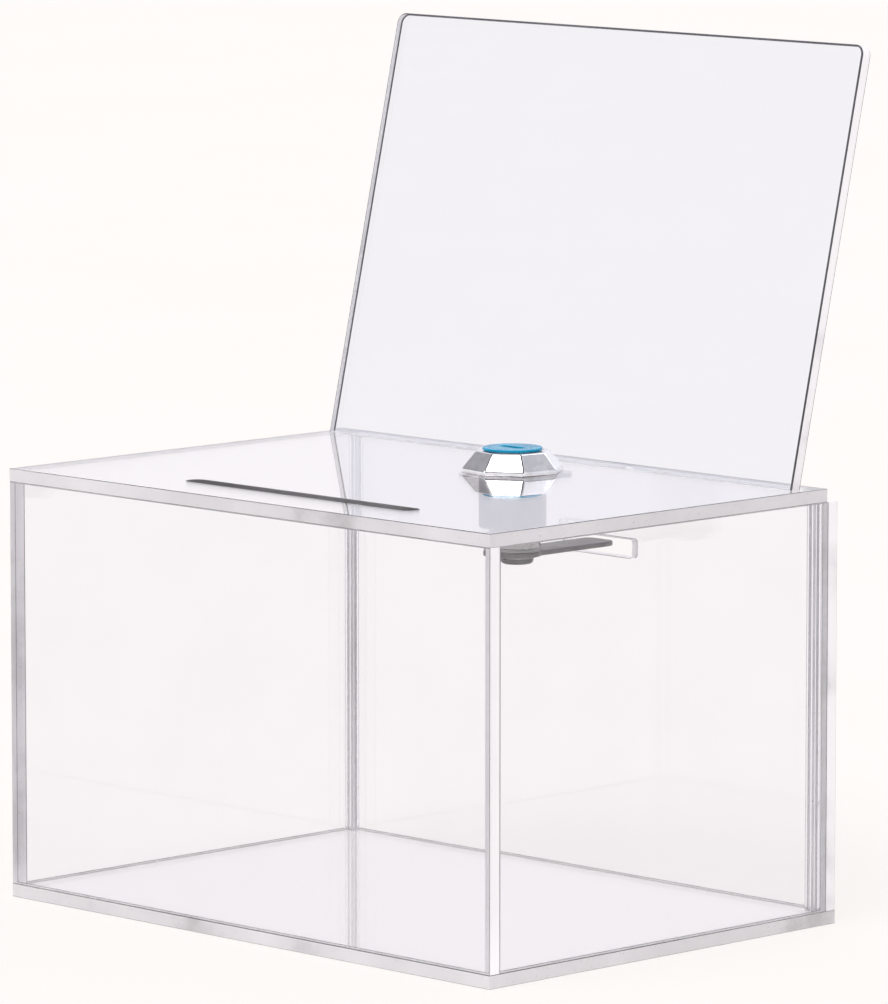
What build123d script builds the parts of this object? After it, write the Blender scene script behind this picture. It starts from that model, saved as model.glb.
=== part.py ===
from build123d import *
import math
import os

os.makedirs("parts", exist_ok=True)

# Counter-top donation box of clear acrylic sheet: five-sided body, loose lid
# with a money slot, a leaning sign panel on the lid and a cam lock whose cam
# reaches for a slot in the rear wall.
# Millimetres. Origin: centre of the base's underside. +X right, -Y front, +Z up.

# ---- sheet and body ----
sheet = 3.175              # 1/8 in clear acrylic
body_w = 158.75            # outside width, 6 1/4 in
body_d = 112.5             # outside depth
wall_top = 98.3            # top edge of the four walls
edge_break = 0.25          # polished edge on every sheet

# ---- lid ----
lid_rear_gap = 3.5         # lid stops this far short of the body's rear face
slot_len = 74.6            # money slot, end to end
slot_w = 5.0
slot_x = 2.7               # slot centre
slot_from_front = 15.9

# ---- sign panel on the lid ----
hdr_w = 152.4              # 6 in
hdr_len = 103.4            # measured up the slope
hdr_t = 3.0
hdr_lean = 13.2            # degrees back from upright
hdr_foot_from_rear = 12.3  # front foot edge, from the body's rear face
hdr_corner = 2.5

# ---- rear corner strips ----
strip = 2.7

# ---- lock ----
lock_x = 6.2
lock_y = 24.2
head_af = 22.6             # octagonal head across flats, at its widest
head_top_af = 16.3
head_rim = 0.9
head_h = 4.9
head_turn = -10.0         # degrees the head stands turned from the box sides
barrel_d = 15.8
barrel_flat = 13.8         # across the two flats
barrel_len = 15.9          # from the lid's top face
plug_len = 17.65           # round part of the plug, below the lid's top face
bore_d = 11.1
plug_d = 11.0
tail_sq = 6.0
disc_d = 14.0
disc_t = 0.6
washer_t = 0.9
cam_t = 1.2
cam_w = 9.0
cam_reach = 28.5           # lock axis to cam tip
cam_hub_d = 11.6
screw_d = 4.0
screw_head_t = 1.4
lock_washer_t = 0.5
clip_t = 1.0
wafer_t = 0.8
wafer_pitch = 2.6
wafer_n = 4

# ---- catch slot in the rear wall ----
catch_x = 4.3              # slot centre
catch_w = 22.6
catch_h = 4.4
catch_top = 83.45

# ---- derived ----
hx = body_w / 2
hy = body_d / 2
lid_top = wall_top + sheet
ix = hx - sheet
iy = hy - sheet


def block(x0, x1, y0, y1, z0, z1):
    return Pos((x0 + x1) / 2, (y0 + y1) / 2, (z0 + z1) / 2) * Box(x1 - x0, y1 - y0, z1 - z0)


def broken(solid, r=edge_break):
    return chamfer(solid.edges(), r)


def save(shape, name):
    shape.label = name
    export_step(shape, "parts/" + name + ".step")


# ---- body ----
base_panel = broken(block(-hx, hx, -hy, hy, 0, sheet))
front_panel = broken(block(-hx, hx, -hy, -iy, sheet, wall_top))
rear_panel = broken(block(-hx, hx, iy, hy, sheet, wall_top))
catch = Pos(catch_x, (iy + hy) / 2, catch_top - catch_h / 2) * Rot(90, 0, 0) * extrude(
    RectangleRounded(catch_w, catch_h, 0.8), sheet, both=True)
rear_panel = rear_panel - catch
left_panel = broken(block(-hx, -ix, -iy, iy, sheet, wall_top))
right_panel = broken(block(ix, hx, -iy, iy, sheet, wall_top))
corner_strip_left = broken(block(-ix, -ix + strip, iy - strip, iy, sheet, wall_top), 0.2)
corner_strip_right = broken(block(ix - strip, ix, iy - strip, iy, sheet, wall_top), 0.2)

# ---- lid ----
lid_panel = broken(block(-hx, hx, -hy, hy - lid_rear_gap, wall_top, lid_top))
money_slot = Pos(slot_x, -hy + slot_from_front, wall_top - 1) * extrude(
    SlotOverall(slot_len, slot_w), sheet + 2)
lid_panel = lid_panel - money_slot
lock_hole = Circle(barrel_d / 2 + 0.1) & Rectangle(barrel_d + 2, barrel_flat + 0.2)
lid_panel = lid_panel - Pos(lock_x, lock_y, wall_top - 1) * extrude(lock_hole, sheet + 2)

# ---- sign panel: leans back, foot planed flat to the lid ----
foot_y = hy - hdr_foot_from_rear
hdr = Pos(0, hdr_t / 2, hdr_len / 2 - 5) * Box(hdr_w, hdr_t, hdr_len + 10)
hdr = fillet(hdr.edges().filter_by(Axis.Y).group_by(Axis.Z)[-1], hdr_corner)
hdr = Pos(0, foot_y, lid_top) * Rot(-hdr_lean, 0, 0) * hdr
hdr = hdr - block(-hx - 5, hx + 5, -hy, hy + 40, lid_top - 20, lid_top)
header_panel = hdr

# ---- lock housing: octagonal head and double-D barrel in one casting ----
axis_at = Pos(lock_x, lock_y, 0)
oct_r = head_af / 2 / math.cos(math.pi / 8)
oct_top_r = head_top_af / 2 / math.cos(math.pi / 8)
oct_rot = Rot(0, 0, 22.5 + head_turn)
rim = Pos(0, 0, lid_top) * extrude(oct_rot * RegularPolygon(oct_r, 8), head_rim)
bevel = loft([
    Pos(0, 0, lid_top + head_rim) * oct_rot * RegularPolygon(oct_r, 8),
    Pos(0, 0, lid_top + head_h) * oct_rot * RegularPolygon(oct_top_r, 8),
])
barrel_sk = Circle(barrel_d / 2) & Rectangle(barrel_d + 2, barrel_flat)
barrel = Pos(0, 0, lid_top - barrel_len) * extrude(barrel_sk, barrel_len)
housing = rim + bevel + barrel
housing = housing - Pos(0, 0, lid_top - barrel_len - 1) * extrude(
    Circle(bore_d / 2), barrel_len + head_h + 2)
# grooves for the horseshoe clip, just under the lid
clip_z1 = wall_top - 0.05
clip_z0 = clip_z1 - clip_t
groove_in = barrel_d / 2 - 1.1
for s in (-1, 1):
    g = block(min(s * groove_in, s * (barrel_d / 2 + 1)), max(s * groove_in, s * (barrel_d / 2 + 1)),
              -barrel_d, barrel_d, clip_z0 - 0.05, clip_z1 + 0.05)
    housing = housing - g
lock_housing = axis_at * housing

# ---- horseshoe clip: two prongs in the grooves, joined behind the barrel ----
clip_out = 10.2
clip_sk = (RectangleRounded(2 * clip_out, 22.0, 3.0)
           - Pos(0, -6.0) * Rectangle(2 * (groove_in + 0.1), 28.4))
clip = Pos(0, 1.5, clip_z0) * extrude(clip_sk, clip_t)
mounting_clip = axis_at * clip

# ---- plug: turns in the housing; square tail carries washer and cam ----
plug_top = lid_top + head_h + 0.1
plug_end = lid_top - plug_len
washer_z0 = plug_end - washer_t
cam_z1 = washer_z0
cam_z0 = cam_z1 - cam_t
plug = Pos(0, 0, plug_end) * extrude(Circle(plug_d / 2), plug_top - plug_end)
plug = plug + Pos(0, 0, cam_z0 + 0.15) * extrude(Rectangle(tail_sq, tail_sq), plug_end - cam_z0 - 0.15)
# blind tapped hole in the tail
plug = plug - Pos(0, 0, cam_z0 - 1) * extrude(Circle(screw_d / 2), 6.0 + 1)
# keyway
key_t = 1.7
key_w = 6.6
key_depth = 14.0
plug = plug - Pos(0, 0, plug_top - key_depth) * extrude(Rectangle(key_w, key_t), key_depth + 1)
# wafer pockets across the plug
wafer_w = 5.0
wafer_l = 9.3
wafer_z = [lid_top + 1.2 - i * wafer_pitch for i in range(wafer_n)]
for z in wafer_z:
    plug = plug - Pos(0, 0, z) * Box(wafer_w + 0.1 + 2.6, wafer_l + 3, wafer_t + 0.1)
lock_plug = axis_at * plug

# coloured disc round the keyhole
disc = Pos(0, 0, plug_top) * extrude(Circle(disc_d / 2), disc_t)
disc = disc - Pos(0, 0, plug_top - 1) * extrude(SlotOverall(key_w + 0.6, key_t + 0.5), disc_t + 2)
disc = chamfer(disc.edges().filter_by(GeomType.CIRCLE).group_by(Axis.Z)[-1].sort_by(SortBy.RADIUS)[-1], 0.25)
plug_face_disc = axis_at * disc

# ---- wafers (flat brass plates with a key window) and their springs ----
wafers = []
springs = []
for i, z in enumerate(wafer_z):
    w = Box(wafer_w, wafer_l, wafer_t)
    w = w - Box(3.4, 2.6, wafer_t + 1)
    # side lug over the spring
    w = w + Pos(wafer_w / 2 + 0.45, -3.0, 0) * Box(0.9, 1.2, wafer_t)
    wafers.append(axis_at * Pos(0, 0, z) * w)
    s = Pos(wafer_w / 2 + 0.6, -0.55, 0) * Rot(90, 0, 0) * (
        Cylinder(0.38, 3.4) - Cylinder(0.2, 3.5))
    springs.append(axis_at * Pos(0, 0, z) * s)
wafer_tumblers = Compound(children=wafers)
wafer_springs = Compound(children=springs)

# ---- stop washer, cam, lock washer and screw on the tail ----
sq = Rectangle(tail_sq + 0.1, tail_sq + 0.1)
washer = Pos(0, 0, washer_z0) * extrude(Circle(5.7) - sq, washer_t)
tab = Pos(0, 0, washer_z0) * extrude(Pos(-6.2, 0) * Rectangle(2.0, 3.2), washer_t)
stop_washer = axis_at * (washer + tab)

arm = Pos(0, (cam_reach - 2) / 2) * Rectangle(cam_w, cam_reach - 2)
tip = Pos(0, cam_reach - cam_w / 2) * RectangleRounded(cam_w, cam_w, 2.0)
cam_sk = Circle(cam_hub_d / 2) + arm + tip
cam_sk = cam_sk - sq
cam = Pos(0, 0, cam_z0) * extrude(cam_sk, cam_t)
lock_cam = axis_at * cam

lw_t = lock_washer_t
lock_washer_sk = Circle(4.2) - Circle(screw_d / 2 + 0.1) - Pos(0, -4) * Rectangle(0.8, 5)
cam_lock_washer = axis_at * Pos(0, 0, cam_z0 - lw_t) * extrude(lock_washer_sk, lw_t)

head_z1 = cam_z0 - lw_t
screw = Pos(0, 0, head_z1 - screw_head_t) * extrude(Circle(3.9), screw_head_t)
screw = fillet(screw.edges().group_by(Axis.Z)[0], 0.9)
screw = screw + Pos(0, 0, head_z1) * extrude(Circle(screw_d / 2 - 0.02), lw_t + 5.2)
screw = screw - Pos(0, 0, head_z1 - screw_head_t) * (Box(4.4, 0.9, 1.8) + Box(0.9, 4.4, 1.8))
cam_screw = axis_at * screw

for name, shape in {
    "base_panel": base_panel,
    "front_panel": front_panel,
    "rear_panel": rear_panel,
    "left_panel": left_panel,
    "right_panel": right_panel,
    "corner_strip_left": corner_strip_left,
    "corner_strip_right": corner_strip_right,
    "lid_panel": lid_panel,
    "header_panel": header_panel,
    "lock_housing": lock_housing,
    "mounting_clip": mounting_clip,
    "lock_plug": lock_plug,
    "plug_face_disc": plug_face_disc,
    "wafer_tumblers": wafer_tumblers,
    "wafer_springs": wafer_springs,
    "stop_washer": stop_washer,
    "lock_cam": lock_cam,
    "cam_lock_washer": cam_lock_washer,
    "cam_screw": cam_screw,
}.items():
    save(shape, name)

print("lid top", lid_top, "plug top", plug_top, "cam", cam_z0, cam_z1, "screw bottom", head_z1 - screw_head_t,
      "cam tip y", lock_y + cam_reach, "rear wall inner y", iy)
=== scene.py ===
import bpy
import bmesh
import math
from mathutils import Matrix, Vector


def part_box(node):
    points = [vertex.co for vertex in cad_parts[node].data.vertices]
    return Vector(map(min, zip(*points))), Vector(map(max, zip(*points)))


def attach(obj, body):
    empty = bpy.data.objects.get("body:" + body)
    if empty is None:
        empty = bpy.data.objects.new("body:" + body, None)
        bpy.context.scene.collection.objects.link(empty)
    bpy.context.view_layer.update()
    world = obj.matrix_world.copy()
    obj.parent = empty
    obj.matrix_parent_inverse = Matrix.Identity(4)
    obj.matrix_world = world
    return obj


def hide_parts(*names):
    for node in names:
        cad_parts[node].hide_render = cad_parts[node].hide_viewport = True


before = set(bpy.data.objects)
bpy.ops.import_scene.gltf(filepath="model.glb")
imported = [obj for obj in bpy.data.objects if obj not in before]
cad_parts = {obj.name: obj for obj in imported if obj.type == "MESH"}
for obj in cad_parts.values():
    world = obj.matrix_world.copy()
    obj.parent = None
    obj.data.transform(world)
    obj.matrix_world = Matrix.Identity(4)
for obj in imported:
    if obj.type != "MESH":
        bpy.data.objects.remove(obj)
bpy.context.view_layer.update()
MM = 0.001


# ------------------------------------------------------------------ materials
def tree(name):
    m = bpy.data.materials.new(name)
    m.use_nodes = True
    nt = m.node_tree
    nt.nodes.clear()
    out = nt.nodes.new("ShaderNodeOutputMaterial")
    p = nt.nodes.new("ShaderNodeBsdfPrincipled")
    nt.links.new(p.outputs[0], out.inputs["Surface"])
    return m, nt, p, out


def coords(nt, scale=(1, 1, 1), rot=(0, 0, 0)):
    tc = nt.nodes.new("ShaderNodeTexCoord")
    mp = nt.nodes.new("ShaderNodeMapping")
    mp.inputs["Scale"].default_value = scale
    mp.inputs["Rotation"].default_value = rot
    nt.links.new(tc.outputs["Object"], mp.inputs["Vector"])
    return mp.outputs["Vector"]


def noise(nt, vec, scale, detail=3.0, rough=0.55):
    n = nt.nodes.new("ShaderNodeTexNoise")
    n.inputs["Scale"].default_value = scale
    n.inputs["Detail"].default_value = detail
    n.inputs["Roughness"].default_value = rough
    nt.links.new(vec, n.inputs["Vector"])
    return n.outputs["Fac"]


def ramp(nt, fac, stops):
    r = nt.nodes.new("ShaderNodeValToRGB")
    el = r.color_ramp.elements
    el[0].position, el[0].color = stops[0][0], (*stops[0][1], 1)
    el[1].position, el[1].color = stops[-1][0], (*stops[-1][1], 1)
    for pos, col in stops[1:-1]:
        e = el.new(pos)
        e.color = (*col, 1)
    nt.links.new(fac, r.inputs["Fac"])
    return r.outputs["Color"]


def span(nt, fac, lo, hi, a=0.3, b=0.7):
    r = nt.nodes.new("ShaderNodeMapRange")
    r.inputs["From Min"].default_value = a
    r.inputs["From Max"].default_value = b
    r.inputs["To Min"].default_value = lo
    r.inputs["To Max"].default_value = hi
    nt.links.new(fac, r.inputs["Value"])
    return r.outputs["Result"]


def bump(nt, p, height, strength, distance, prev=None):
    b = nt.nodes.new("ShaderNodeBump")
    b.inputs["Strength"].default_value = strength
    b.inputs["Distance"].default_value = distance
    nt.links.new(height, b.inputs["Height"])
    if prev is not None:
        nt.links.new(prev, b.inputs["Normal"])
    nt.links.new(b.outputs["Normal"], p.inputs["Normal"])
    return b.outputs["Normal"]


def tint_volume(nt, out):
    v = nt.nodes.new("ShaderNodeVolumeAbsorption")
    v.inputs["Color"].default_value = (0.72, 0.72, 0.80, 1)
    v.inputs["Density"].default_value = 3.0
    nt.links.new(v.outputs[0], out.inputs["Volume"])


def acrylic_face(name, low, high, tinted=True):
    """Cast acrylic faces: water clear, faint long ripple, hairline scuffs."""
    m, nt, p, out = tree(name)
    p.inputs["Transmission Weight"].default_value = 1.0
    p.inputs["IOR"].default_value = 1.49
    v = coords(nt)
    haze = noise(nt, v, 38.0, 4.0)
    nt.links.new(ramp(nt, haze, [(0.3, low), (0.7, high)]),
                 p.inputs["Base Color"])
    scuff = noise(nt, coords(nt, (420, 14, 420), (0.3, 0.2, 0.7)), 6.0, 6.0, 0.7)
    nt.links.new(span(nt, scuff, 0.006, 0.03, 0.5, 0.72), p.inputs["Roughness"])
    ripple = noise(nt, v, 16.0, 1.5)
    bump(nt, p, ripple, 0.12, 0.00008)
    if tinted:
        tint_volume(nt, out)
    return m


def acrylic_edge(name, low, high, clear, painted_glow=0.0):
    """Cut sheet edges: satin and milky, faint saw ticks; piped is an emission painted on the edge, a painted glow
    standing in for the light the sheet carries to its edge.
    """
    m, nt, p, out = tree(name)
    # the emission is a painted glow on the edge, not a lamp
    p.inputs["Emission Color"].default_value = (0.97, 0.95, 0.97, 1)
    p.inputs["Emission Strength"].default_value = painted_glow
    p.inputs["Transmission Weight"].default_value = clear
    p.inputs["IOR"].default_value = 1.49
    v = coords(nt)
    cloud = noise(nt, v, 34.0, 5.0)
    dim = tuple(c * 0.74 for c in low)
    nt.links.new(ramp(nt, cloud, [(0.34, dim), (0.43, low), (0.72, high)]), p.inputs["Base Color"])
    ticks = noise(nt, coords(nt, (900, 900, 900)), 1.6, 5.0, 0.65)
    nt.links.new(span(nt, ticks, 0.25, 0.45), p.inputs["Roughness"])
    bump(nt, p, ticks, 0.15, 0.00005)
    tint_volume(nt, out)
    return m


def chrome(name, base, lo, hi, tarnish=(0.80, 0.80, 0.81)):
    m, nt, p, out = tree(name)
    p.inputs["Metallic"].default_value = 1.0
    v = coords(nt)
    n1 = noise(nt, v, 420.0, 5.0)
    nt.links.new(ramp(nt, n1, [(0.35, tarnish), (0.65, base)]), p.inputs["Base Color"])
    n2 = noise(nt, v, 900.0, 6.0, 0.7)
    nt.links.new(span(nt, n2, lo, hi), p.inputs["Roughness"])
    orange = noise(nt, v, 650.0, 2.0)
    bump(nt, p, orange, 0.08, 0.00004)
    return m


def cast(name, base, dark):
    """Barrel of the lock: die-cast, thin bright plate over a fine pebbled skin."""
    m, nt, p, out = tree(name)
    p.inputs["Metallic"].default_value = 1.0
    v = coords(nt)
    nt.links.new(ramp(nt, noise(nt, v, 700.0, 5.0), [(0.3, dark), (0.7, base)]), p.inputs["Base Color"])
    nt.links.new(span(nt, noise(nt, v, 1500.0, 4.0), 0.30, 0.48), p.inputs["Roughness"])
    bump(nt, p, noise(nt, v, 2600.0, 4.0), 0.35, 0.00006)
    return m


def plated(name, base, dark, rough=(0.22, 0.42), grain=(2000, 120, 120)):
    """Pressed or turned steel with directional grain under thin plating."""
    m, nt, p, out = tree(name)
    p.inputs["Metallic"].default_value = 1.0
    g = noise(nt, coords(nt, grain), 2.0, 6.0, 0.7)
    blotch = noise(nt, coords(nt), 260.0, 4.0)
    mix = nt.nodes.new("ShaderNodeMath")
    mix.operation = "MULTIPLY"
    nt.links.new(g, mix.inputs[0])
    nt.links.new(blotch, mix.inputs[1])
    nt.links.new(ramp(nt, mix.outputs[0], [(0.12, dark), (0.42, base)]), p.inputs["Base Color"])
    nt.links.new(span(nt, g, rough[0], rough[1]), p.inputs["Roughness"])
    bump(nt, p, g, 0.25, 0.00005)
    return m


def blue_enamel():
    m, nt, p, out = tree("blue_disc_enamel")
    v = coords(nt)
    nt.links.new(ramp(nt, noise(nt, v, 160.0, 3.0), [
        (0.3, (0.003, 0.26, 0.48)), (0.55, (0.006, 0.36, 0.60)), (0.8, (0.03, 0.48, 0.72))]),
        p.inputs["Base Color"])
    p.inputs["Specular IOR Level"].default_value = 0.12
    nt.links.new(span(nt, noise(nt, v, 1100.0, 4.0), 0.14, 0.30), p.inputs["Roughness"])
    bump(nt, p, noise(nt, v, 500.0, 2.0), 0.1, 0.00004)
    return m


def brass():
    return plated("wafer_brass_stamped", (0.80, 0.62, 0.30), (0.55, 0.40, 0.17), (0.25, 0.45))


FACE = acrylic_face("acrylic_face", (0.962, 0.958, 0.974), (0.974, 0.970, 0.986))
BASEFACE = acrylic_face("acrylic_face_base", (0.988, 0.984, 0.992), (0.997, 0.994, 0.999), False)
LIDFACE = acrylic_face("acrylic_face_lid", (0.955, 0.945, 0.965), (0.970, 0.960, 0.978))
SIGNFACE = acrylic_face("acrylic_face_sign", (0.888, 0.902, 0.950), (0.902, 0.914, 0.960))
EDGE = acrylic_edge("acrylic_edge_satin", (0.80, 0.775, 0.795), (0.90, 0.875, 0.895), 0.20)
# light-toned sheet ends with a painted glow (emission 0.18)
ENDS = acrylic_edge("acrylic_edge_light_painted_glow", (0.93, 0.91, 0.93), (0.985, 0.965, 0.98), 0.20, 0.18)
# dark grey rims between faces and cut edges: painted shade for the dark lines the rounded corners show
RIMS_PAINTED_SHADE = acrylic_edge("acrylic_rim", (0.42, 0.41, 0.42), (0.52, 0.51, 0.52), 0.5)
# corner strip edges with a painted glow (emission 0.10)
STRIPEDGE = acrylic_edge("acrylic_strip_edge_painted_glow", (0.72, 0.70, 0.72), (0.82, 0.80, 0.82), 0.5, 0.10)
# dark slot edge: painted shade inside the slot
SLOT_EDGE_PAINTED_SHADE = acrylic_edge("acrylic_slot_edge", (0.20, 0.195, 0.20), (0.32, 0.31, 0.32), 0.4)
# near-black sign panel rim: painted shade for its dark outline
SIGN_RIM_PAINTED_SHADE = acrylic_edge("acrylic_rim_sign", (0.06, 0.06, 0.065), (0.13, 0.13, 0.14), 0.35)
CHROME = chrome("lock_chrome_bright", (0.90, 0.90, 0.91), 0.03, 0.10)
BARREL = cast("lock_barrel_cast", (0.32, 0.31, 0.33), (0.22, 0.21, 0.23))
PLUG = plated("plug_nickel", (0.44, 0.43, 0.43), (0.36, 0.35, 0.35), (0.20, 0.34), (300, 300, 300))
CAMS = plated("cam_steel_plated", (0.20, 0.19, 0.20), (0.09, 0.085, 0.09), (0.28, 0.46))
SCREW = plated("screw_steel_plated", (0.17, 0.17, 0.18), (0.07, 0.07, 0.075), (0.24, 0.42), (400, 400, 400))
ZINC = plated("washer_zinc", (0.34, 0.34, 0.34), (0.20, 0.20, 0.21), (0.25, 0.45), (500, 500, 500))
SPRING = plated("spring_steel_bright", (0.55, 0.55, 0.57), (0.30, 0.30, 0.32), (0.2, 0.4), (900, 300, 300))
BLUE = blue_enamel()
BRASS = brass()


# ------------------------------------------------------------------ mesh makers
def link(name, mesh, mats, body, nodes, smooth=35):
    o = bpy.data.objects.new(name, mesh)
    bpy.context.scene.collection.objects.link(o)
    for m in mats:
        mesh.materials.append(m)
    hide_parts(*nodes)
    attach(o, body)
    return o


def outline(pts, holes, thick, edge_r, res=3):
    """Flat sheet with rounded rims from closed outlines, in millimetres, centred on z = 0."""
    cu = bpy.data.curves.new("outline", "CURVE")
    cu.dimensions = "2D"
    cu.fill_mode = "BOTH"
    cu.bevel_depth = edge_r * MM
    cu.bevel_resolution = res
    cu.offset = -edge_r * MM
    cu.extrude = (thick / 2 - edge_r) * MM
    for ring in [pts, *holes]:
        s = cu.splines.new("POLY")
        s.points.add(len(ring) - 1)
        for q, (x, y) in zip(s.points, ring):
            q.co = (x * MM, y * MM, 0, 1)
        s.use_cyclic_u = True
    o = bpy.data.objects.new("outline", cu)
    bpy.context.scene.collection.objects.link(o)
    dg = bpy.context.evaluated_depsgraph_get()
    me = bpy.data.meshes.new_from_object(o.evaluated_get(dg))
    me.materials.clear()
    bpy.data.objects.remove(o)
    bpy.data.curves.remove(cu)
    bm = bmesh.new()
    bm.from_mesh(me)
    bmesh.ops.remove_doubles(bm, verts=bm.verts, dist=2e-6)
    bmesh.ops.recalc_face_normals(bm, faces=bm.faces)
    bm.to_mesh(me)
    bm.free()
    return me


def rect(x0, x1, y0, y1, r=0.0, n=6):
    if r <= 0:
        return [(x0, y0), (x1, y0), (x1, y1), (x0, y1)]
    out = []
    for cx, cy, a0 in ((x1 - r, y0 + r, -90), (x1 - r, y1 - r, 0), (x0 + r, y1 - r, 90), (x0 + r, y0 + r, 180)):
        for i in range(n + 1):
            a = math.radians(a0 + 90 * i / n)
            out.append((cx + r * math.cos(a), cy + r * math.sin(a)))
    return out


def slot_ring(cx, cy, length, width, n=14):
    r = width / 2
    out = []
    for sx, a0 in ((1, -90), (-1, 90)):
        for i in range(n + 1):
            a = math.radians(a0 + 180 * i / n)
            out.append((cx + sx * (length / 2 - r) + r * math.cos(a), cy + r * math.sin(a)))
    return out


def circle_ring(cx, cy, r, n=72):
    return [(cx + r * math.cos(2 * math.pi * i / n), cy + r * math.sin(2 * math.pi * i / n)) for i in range(n)]


def double_d(cx, cy, r, half, n=40):
    a = math.asin(half / r)
    out = []
    for i in range(n + 1):
        t = -a + 2 * a * i / n
        out.append((cx + r * math.cos(t), cy + r * math.sin(t)))
    for i in range(n + 1):
        t = math.pi - a + 2 * a * i / n
        out.append((cx + r * math.cos(t), cy + r * math.sin(t)))
    return out


def mark_edges(me, axis):
    """Material 0 on the two faces, 1 on the cut edge, 2 on the broken corners between them."""
    a = Vector(axis).normalized()
    for f in me.polygons:
        d = abs(f.normal.dot(a))
        f.material_index = 1 if d < 0.1 else (0 if d > 0.985 else 2)
        f.use_smooth = False


def acrylic(name, me, matrix, axis, body, node, mats):
    me.transform(matrix)
    me.update()
    mark_edges(me, axis)
    return link(name, me, mats, body, [node])


def lathe(rings, n, spin=0.0):
    """Rings of (radius, z) in mm swept round z; a radius may be a function of the angle."""
    bm = bmesh.new()
    rows = []
    for r, z in rings:
        row = []
        for i in range(n):
            a = 2 * math.pi * i / n + spin
            rr = r(a) if callable(r) else r
            row.append(bm.verts.new((rr * math.cos(a) * MM, rr * math.sin(a) * MM, z * MM)))
        rows.append(row)
    for a, b in zip(rows, rows[1:]):
        for i in range(n):
            bm.faces.new((a[i], a[(i + 1) % n], b[(i + 1) % n], b[i]))
    return bm, rows


def to_mesh(bm, name):
    bmesh.ops.recalc_face_normals(bm, faces=bm.faces)
    me = bpy.data.meshes.new(name)
    bm.to_mesh(me)
    bm.free()
    return me


def shade(me, angle=30):
    for f in me.polygons:
        f.use_smooth = True
    me.update()


def soften(o, width, seg=3, angle=30):
    b = o.modifiers.new("edges", "BEVEL")
    b.width = width * MM
    b.segments = seg
    b.limit_method = "ANGLE"
    b.angle_limit = math.radians(angle)
    b.harden_normals = True
    for f in o.data.polygons:
        f.use_smooth = True
    return b


# ------------------------------------------------------------------ acrylic sheets
GAP = 0.02                                   # cement line between sheets
RIM = 0.14                                   # broken edge of the sheets
HDR_RIM = 0.34                               # rounder edge of the sign panel; its dark colour is painted shade


def mm_box(node):
    lo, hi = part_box(node)
    return [v / MM for v in (lo.x, hi.x, lo.y, hi.y, lo.z, hi.z)]


def upright(name, node, facing, holes=(), x_in=0.0, top=GAP, bottom=GAP):
    """A wall: facing 'y' for front and rear, 'x' for the sides."""
    x0, x1, y0, y1, z0, z1 = mm_box(node)
    z0 += bottom
    z1 -= top
    if facing == "y":
        me = outline(rect(x0, x1, z0, z1), holes, y1 - y0, RIM)
        m = Matrix.Translation(Vector((0, (y0 + y1) / 2, 0)) * MM) @ Matrix.Rotation(math.pi / 2, 4, "X")
        return acrylic(name, me, m, (0, 1, 0), "box", node, [FACE, ENDS, RIMS_PAINTED_SHADE])
    me = outline(rect(y0 + x_in, y1 - x_in, z0, z1), holes, x1 - x0, RIM)
    m = Matrix.Translation(Vector(((x0 + x1) / 2, 0, 0)) * MM) @ Matrix.Rotation(math.pi / 2, 4, "Z") @ Matrix.Rotation(math.pi / 2, 4, "X")
    return acrylic(name, me, m, (1, 0, 0), "box", node, [FACE, ENDS, RIMS_PAINTED_SHADE])


lock_lo, lock_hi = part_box("lock_plug")
LX = (lock_lo.x + lock_hi.x) / 2 / MM
LY = (lock_lo.y + lock_hi.y) / 2 / MM
AT = Matrix.Translation(Vector((LX, LY, 0)) * MM)

x0, x1, y0, y1, z0, z1 = mm_box("base_panel")
acrylic("base_sheet", outline(rect(x0, x1, y0, y1), [], z1 - z0, RIM),
        Matrix.Translation(Vector((0, 0, (z0 + z1) / 2)) * MM), (0, 0, 1), "box", "base_panel", [BASEFACE, EDGE, BASEFACE])
upright("front_sheet", "front_panel", "y")
catch_hole = [(x, z) for x, z in rect(4.3 - 11.3, 4.3 + 11.3, 79.05, 83.45, 0.8)]
upright("rear_sheet", "rear_panel", "y", holes=[catch_hole])
upright("left_sheet", "left_panel", "x", x_in=GAP)
upright("right_sheet", "right_panel", "x", x_in=GAP)
for side in ("left", "right"):
    node = "corner_strip_" + side
    a0, a1, b0, b1, c0, c1 = mm_box(node)
    g = GAP
    me = outline(rect(a0 + g, a1 - g, b0 + g, b1 - g, 0.45, 4), [], c1 - c0 - 2 * g, 0.2)
    me.transform(Matrix.Translation(Vector((0, 0, (c0 + c1) / 2)) * MM))
    me.update()
    for f in me.polygons:
        f.material_index = 0 if max(abs(f.normal.x), abs(f.normal.y)) > 0.985 else 1
        f.use_smooth = False
    link("corner_strip_" + side + "_clear", me, [FACE, STRIPEDGE], "box", [node])

# lid with the money slot and the lock hole
x0, x1, y0, y1, z0, z1 = mm_box("lid_panel")
LID_TOP = z1
lid = outline(rect(x0, x1, y0, y1),
              [slot_ring(2.7, y0 + 15.9, 74.6, 5.0), double_d(LX, LY, 8.0, 7.0)],
              z1 - z0 - GAP, RIM)
acrylic("lid_sheet", lid, Matrix.Translation(Vector((0, 0, (z0 + GAP + z1) / 2)) * MM),
        (0, 0, 1), "lid", "lid_panel", [LIDFACE, EDGE, LIDFACE, SLOT_EDGE_PAINTED_SHADE])
for f in lid.polygons:                       # the milled slot edge gets a dark base colour: painted shade
    c = f.center / MM
    if f.material_index and abs(c.x - 2.7) < 37.6 and abs(c.y - (y0 + 15.9)) < 2.8:
        f.material_index = 3

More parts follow.
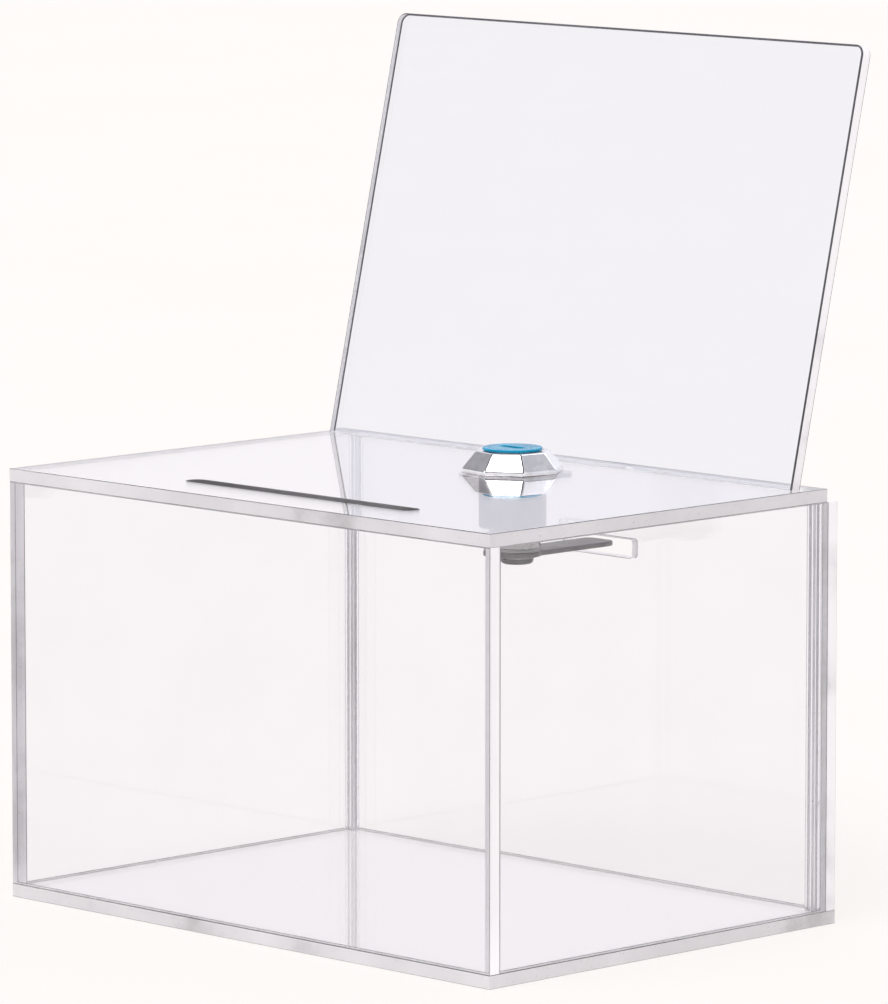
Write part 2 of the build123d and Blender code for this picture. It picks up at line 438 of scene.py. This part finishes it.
# sign panel, leaning back, its foot planed to the lid
HX0, HX1, HY0, HY1, HZ0, HZ1 = mm_box("header_panel")
LEAN, HT, HLEN, FOOT_Y = 13.2, 3.0, 103.4, y0 + 112.5 - 12.3
hdr = outline(rect(HX0, HX1, -8.0, HLEN, 2.5, 10), [], HT, HDR_RIM)
m = (Matrix.Translation(Vector((0, FOOT_Y, LID_TOP)) * MM)
     @ Matrix.Rotation(math.radians(-LEAN), 4, "X")
     @ Matrix.Translation(Vector((0, HT / 2, 0)) * MM)
     @ Matrix.Rotation(math.pi / 2, 4, "X"))
hdr.transform(m)
bm = bmesh.new()
bm.from_mesh(hdr)
cut = bmesh.ops.bisect_plane(bm, geom=bm.verts[:] + bm.edges[:] + bm.faces[:],
                             plane_co=(0, 0, (LID_TOP + GAP) * MM), plane_no=(0, 0, 1), clear_inner=True)
bmesh.ops.holes_fill(bm, edges=[e for e in cut["geom_cut"] if isinstance(e, bmesh.types.BMEdge)], sides=0)
bmesh.ops.recalc_face_normals(bm, faces=bm.faces)
bm.to_mesh(hdr)
bm.free()
hn = (0, math.cos(math.radians(LEAN)), -math.sin(math.radians(LEAN)))
acrylic("header_sheet", hdr, Matrix.Identity(4), hn, "lid", "header_panel", [SIGNFACE, ENDS, SIGN_RIM_PAINTED_SHADE])
for f in hdr.polygons:                       # planed foot
    if f.normal.z < -0.95:
        f.material_index = 1

# ------------------------------------------------------------------ lock head and barrel
HEAD_H, RIM_H, TURN = 4.9, 0.9, math.radians(-10)
AF, TOP_AF = 22.6, 16.3
oct_k = 1 / math.cos(math.pi / 8)
BORE = 5.55
bm = bmesh.new()
rings = []
for r, z in ((AF / 2, LID_TOP + 0.02), (AF / 2, LID_TOP + RIM_H), (TOP_AF / 2, LID_TOP + HEAD_H)):
    rings.append([bm.verts.new((r * oct_k * math.cos(TURN + math.pi / 8 + math.pi / 4 * i) * MM,
                                r * oct_k * math.sin(TURN + math.pi / 8 + math.pi / 4 * i) * MM, z * MM)) for i in range(8)])
for a, b in zip(rings, rings[1:]):
    for i in range(8):
        bm.faces.new((a[i], a[(i + 1) % 8], b[(i + 1) % 8], b[i]))
bm.faces.new(rings[0])
bm.faces.new(rings[-1])
solid = to_mesh(bm, "head_solid")
tmp = bpy.data.objects.new("head_tmp", solid)
bpy.context.scene.collection.objects.link(tmp)
b = tmp.modifiers.new("edges", "BEVEL")
b.width, b.segments, b.limit_method, b.angle_limit = 0.40 * MM, 8, "ANGLE", math.radians(20)
bm, rows = lathe([(BORE + 1.8, LID_TOP + HEAD_H + 2), (BORE + 1.8, LID_TOP + HEAD_H - 0.12), (BORE, LID_TOP + HEAD_H - 0.12),
                  (BORE, LID_TOP - 2)], 96)
bm.faces.new(rows[0])
bm.faces.new(rows[-1])
drill = to_mesh(bm, "bore")
tool = bpy.data.objects.new("bore_tmp", drill)
bpy.context.scene.collection.objects.link(tool)
cut = tmp.modifiers.new("bore", "BOOLEAN")
cut.operation, cut.object, cut.solver = "DIFFERENCE", tool, "EXACT"
dg = bpy.context.evaluated_depsgraph_get()
head = bpy.data.meshes.new_from_object(tmp.evaluated_get(dg))
for o in (tmp, tool):
    bpy.data.objects.remove(o)
head.materials.clear()
head.transform(AT)
link("lock_head", head, [CHROME], "lid", ["lock_housing"])

# barrel: two flats, clip grooves, slight draft rings left by the die
bar_z0 = LID_TOP - 15.9


def barrel_r(rad):
    def f(a):
        s = abs(math.sin(a))
        return min(rad, 6.9 / s) if s > 1e-6 else rad
    return f


clip_hi, clip_lo = LID_TOP - 3.175 - 0.05 + 0.05, LID_TOP - 3.175 - 0.05 - 1.05


def grooved(a):
    c = abs(math.cos(a))
    s = abs(math.sin(a))
    r = min(7.9, 6.9 / s) if s > 1e-6 else 7.9
    return min(r, 6.8 / c) if c > 1e-6 else r


prof = [(BORE, bar_z0), (lambda a: barrel_r(7.55)(a) - 0.0, bar_z0), (barrel_r(7.9), bar_z0 + 0.4)]
z = bar_z0 + 1.2
while z < clip_lo - 0.8:                       # shallow turned lines
    prof += [(barrel_r(7.9), z), (barrel_r(7.84), z + 0.08), (barrel_r(7.84), z + 0.20), (barrel_r(7.9), z + 0.28)]
    z += 1.25
prof += [(barrel_r(7.9), clip_lo), (grooved, clip_lo), (grooved, clip_hi), (barrel_r(7.9), clip_hi),
         (barrel_r(7.9), LID_TOP + 0.02), (BORE, LID_TOP + 0.02), (BORE, bar_z0)]
bm, rows = lathe(prof, 160)
bmesh.ops.remove_doubles(bm, verts=bm.verts, dist=1e-7)
barrel = to_mesh(bm, "lock_barrel")
barrel.transform(AT)
o = bpy.data.objects.new("lock_barrel", barrel)
bpy.context.scene.collection.objects.link(o)
barrel.materials.append(BARREL)
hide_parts("lock_housing")
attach(o, "lid")
for f in barrel.polygons:
    f.use_smooth = False

# horseshoe clip, rounded stock
clip_pts = []
for x, y in [(-6.9, -9.0), (-6.9, 6.2), (-3.5, 9.7), (3.5, 9.7), (6.9, 6.2), (6.9, -9.0),
             (8.2, -9.5), (10.2, -7.0), (10.2, 9.0), (7.2, 12.5), (-7.2, 12.5), (-10.2, 9.0), (-10.2, -7.0), (-8.2, -9.5)]:
    clip_pts.append((x, y))
me = outline(clip_pts, [], 0.9, 0.18)
me.transform(AT @ Matrix.Translation(Vector((0, 0, LID_TOP - 3.175 - 0.55)) * MM))
o = link("clip_horseshoe", me, [SPRING], "lid", ["mounting_clip"])
soften(o, 0.05, 1, 50)

# ------------------------------------------------------------------ plug, disc, cam stack
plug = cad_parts["lock_plug"]
plug.data.materials.clear()
plug.data.materials.append(PLUG)

disc_lo, disc_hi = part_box("plug_face_disc")
dz0, dz1 = disc_lo.z / MM, disc_hi.z / MM
key = slot_ring(0, 0, 7.2, 2.2)
me = outline(circle_ring(0, 0, 7.0, 96), [key], dz1 - dz0, 0.2, 4)
me.transform(AT @ Matrix.Translation(Vector((0, 0, (dz0 + dz1) / 2)) * MM))
o = link("face_disc_blue", me, [BLUE], "plug", ["plug_face_disc"])
for f in me.polygons:
    f.use_smooth = abs(f.normal.z) < 0.99

cam_lo, cam_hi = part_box("lock_cam")
cz0, cz1 = cam_lo.z / MM, cam_hi.z / MM
ring = []
hub_r, half, reach = 5.8, 4.5, 28.5
a0 = math.asin(half / hub_r)
steps = 40
start = math.pi / 2 + a0
for i in range(steps + 1):
    a = start + (2 * math.pi - 2 * a0) * i / steps
    ring.append((hub_r * math.cos(a), hub_r * math.sin(a)))
for cx, s0 in ((half - 2.0, 0), (-half + 2.0, 90)):
    for i in range(9):
        a = math.radians(s0 + 90 * i / 8)
        ring.append((cx + 2.0 * math.cos(a), reach - 2.0 + 2.0 * math.sin(a)))
sq = 3.05
me = outline(ring, [rect(-sq, sq, -sq, sq, 0.4, 4)], cz1 - cz0, 0.28, 3)
me.transform(AT @ Matrix.Translation(Vector((0, 0, (cz0 + cz1) / 2)) * MM))
o = link("cam_arm_pressed", me, [CAMS], "plug", ["lock_cam"])
for f in me.polygons:
    f.use_smooth = abs(f.normal.z) < 0.99

w_lo, w_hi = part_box("stop_washer")
wz0, wz1 = w_lo.z / MM, w_hi.z / MM
ring = []
for i in range(97):
    a = math.radians(180 + 16.5 + (360 - 33) * i / 96)
    ring.append((5.68 * math.cos(a), 5.68 * math.sin(a)))
ring += [(-7.15, 1.6), (-7.15, -1.6)]
me = outline(ring, [rect(-sq, sq, -sq, sq, 0.4, 4)], wz1 - wz0, 0.15, 2)
me.transform(AT @ Matrix.Translation(Vector((0, 0, (wz0 + wz1) / 2)) * MM))
link("stop_washer_tabbed", me, [ZINC], "plug", ["stop_washer"])

l_lo, l_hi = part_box("cam_lock_washer")
lz0, lz1 = l_lo.z / MM, l_hi.z / MM
ring = []
for i in range(65):
    a = math.radians(-90 + 5.5 + (360 - 11) * i / 64)
    ring.append((4.18 * math.cos(a), 4.18 * math.sin(a)))
for i in range(65):
    a = math.radians(-90 - 11 - (360 - 22) * i / 64)
    ring.append((2.12 * math.cos(a), 2.12 * math.sin(a)))
me = outline(ring, [], lz1 - lz0, 0.1, 2)
me.transform(AT @ Matrix.Translation(Vector((0, 0, (lz0 + lz1) / 2)) * MM))
link("split_washer", me, [ZINC], "plug", ["cam_lock_washer"])

# pan-head screw with a cross recess and a threaded shank
s_lo, s_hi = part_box("cam_screw")
sz0 = s_lo.z / MM
head_top = sz0 + 1.4


def recess(a):
    """Cross recess outline as a radius."""
    w, l = 0.46, 2.2
    c, s = abs(math.cos(a)), abs(math.sin(a))
    best = 0.0
    for u, v in ((c, s), (s, c)):
        r1 = l / u if u > 1e-6 else 1e9
        r2 = w / v if v > 1e-6 else 1e9
        best = max(best, min(r1, r2))
    return best


prof = [(0.02, sz0 + 0.85), (lambda a: recess(a) * 0.75, sz0 + 0.85), (recess, sz0 + 0.02),
        (2.6, sz0 + 0.0), (3.1, sz0 + 0.06), (3.5, sz0 + 0.22), (3.78, sz0 + 0.5), (3.9, sz0 + 0.9),
        (3.9, head_top - 0.12), (3.8, head_top), (1.95, head_top)]
zt = head_top
top_end = head_top + 5.70
while zt < top_end - 0.75:
    prof += [(1.95, zt + 0.05), (1.62, zt + 0.35), (1.95, zt + 0.65)]
    zt += 0.7
prof += [(1.6, top_end), (0.02, top_end)]
bm, rows = lathe(prof, 96)
for r in (rows[0], rows[-1]):
    bm.faces.new(r)
screw = to_mesh(bm, "screw")
screw.transform(AT)
o = link("cam_screw_cross", screw, [SCREW], "plug", ["cam_screw"])
for f in screw.polygons:
    f.use_smooth = False

# wafers keep their CAD shape; springs are wound coils
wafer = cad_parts["wafer_tumblers"]
wafer.data.materials.clear()
wafer.data.materials.append(BRASS)
sp_lo, sp_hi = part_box("wafer_springs")
zs = [LID_TOP + 1.2 - i * 2.6 for i in range(4)]
cu = bpy.data.curves.new("spring_coils", "CURVE")
cu.dimensions = "3D"
cu.bevel_depth = 0.075 * MM
cu.bevel_resolution = 2
for zc in zs:
    turns, per = 7, 14
    s = cu.splines.new("POLY")
    s.points.add(turns * per)
    for i in range(turns * per + 1):
        a = 2 * math.pi * i / per
        y = -2.15 + 3.2 * i / (turns * per)
        s.points[i].co = ((LX + 3.1 + 0.30 * math.cos(a)) * MM, (LY + y) * MM, (zc + 0.30 * math.sin(a)) * MM, 1)
o = bpy.data.objects.new("spring_coils", cu)
bpy.context.scene.collection.objects.link(o)
cu.materials.append(SPRING)
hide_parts("wafer_springs")
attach(o, "plug")

# ------------------------------------------------------------------ stage
me = bpy.data.meshes.new("floor")
S = 30.0
me.from_pydata([(-S, -S, 0), (S, -S, 0), (S, S, 0), (-S, S, 0)], [], [(0, 1, 2, 3)])
floor = bpy.data.objects.new("floor", me)
floor.location.z = -0.0002
bpy.context.scene.collection.objects.link(floor)
m, nt, p, out = tree("floor_paper")
nt.links.new(ramp(nt, noise(nt, coords(nt), 6.0, 3.0), [(0.3, (0.135, 0.131, 0.128)), (0.7, (0.145, 0.141, 0.138))]),
             p.inputs["Base Color"])
p.inputs["Roughness"].default_value = 0.9
p.inputs["Specular IOR Level"].default_value = 0.0
p.inputs["Emission Color"].default_value = (1.0, 0.968, 0.948, 1)
p.inputs["Emission Strength"].default_value = 0.85
me.materials.append(m)

world = bpy.data.worlds.new("studio")
bpy.context.scene.world = world
world.use_nodes = True
wn = world.node_tree
wn.nodes.clear()
wo = wn.nodes.new("ShaderNodeOutputWorld")
bg = wn.nodes.new("ShaderNodeBackground")
tc = wn.nodes.new("ShaderNodeTexCoord")
WALL = (0.97, 0.95, 0.98)


def aim(direction, stops):
    """Brightness by angle from one direction."""
    dot = wn.nodes.new("ShaderNodeVectorMath")
    dot.operation = "DOT_PRODUCT"
    dot.inputs[1].default_value = Vector(direction).normalized()
    wn.links.new(tc.outputs["Generated"], dot.inputs[0])
    r = wn.nodes.new("ShaderNodeValToRGB")
    el = r.color_ramp.elements
    el[0].position, el[0].color = stops[0][0], (*stops[0][1], 1)
    el[1].position, el[1].color = stops[-1][0], (*stops[-1][1], 1)
    for pos, col in stops[1:-1]:
        e = el.new(pos)
        e.color = (*col, 1)
    wn.links.new(dot.outputs["Value"], r.inputs["Fac"])
    return r.outputs["Color"]


# overhead softbox with a dark surround, and one grey flag on the left
box_light = aim((0.059, -0.396, 0.916), [(0.0, WALL), (0.755, WALL), (0.785, (0.03, 0.03, 0.035)),
                                         (0.945, (0.03, 0.03, 0.035)), (0.972, (7.0, 7.0, 7.1)), (1.0, (7.0, 7.0, 7.1))])
flag = aim((-0.85, -0.12, 0.52), [(0.0, (1, 1, 1)), (0.915, (1, 1, 1)), (0.955, (0.30, 0.30, 0.32)), (1.0, (0.42, 0.42, 0.44))])
mul = wn.nodes.new("ShaderNodeVectorMath")
mul.operation = "MULTIPLY"
wn.links.new(box_light, mul.inputs[0])
wn.links.new(flag, mul.inputs[1])
wn.links.new(mul.outputs["Vector"], bg.inputs["Color"])
bg.inputs["Strength"].default_value = 1.0
wn.links.new(bg.outputs[0], wo.inputs["Surface"])


def soft_light(name, loc, size, power, target=(0, 0, 0.09)):
    ld = bpy.data.lights.new(name, "AREA")
    ld.shape = "RECTANGLE"
    ld.size, ld.size_y = size
    ld.energy = power
    o = bpy.data.objects.new(name, ld)
    o.location = loc
    d = Vector(target) - Vector(loc)
    o.rotation_euler = d.to_track_quat("-Z", "Y").to_euler()
    bpy.context.scene.collection.objects.link(o)
    return o


soft_light("key_soft", (-0.9, -1.4, 1.5), (0.9, 0.7), 3.0)

cam_data = bpy.data.cameras.new("camera")
cam = bpy.data.objects.new("camera", cam_data)
bpy.context.scene.collection.objects.link(cam)
cam.location = (1.2520, -1.2264, 0.3288)
cam.rotation_euler = (math.radians(90 - 7.573), 0, math.radians(45.408))
cam_data.sensor_width = 36.0
cam_data.lens = 7642.9 / 1004 * 36.0
cam_data.clip_end = 200
bpy.context.scene.camera = cam
sc = bpy.context.scene
sc.view_settings.view_transform = "Standard"
sc.cycles.max_bounces = 40
sc.cycles.transmission_bounces = 40
sc.cycles.glossy_bounces = 12
sc.cycles.transparent_max_bounces = 16
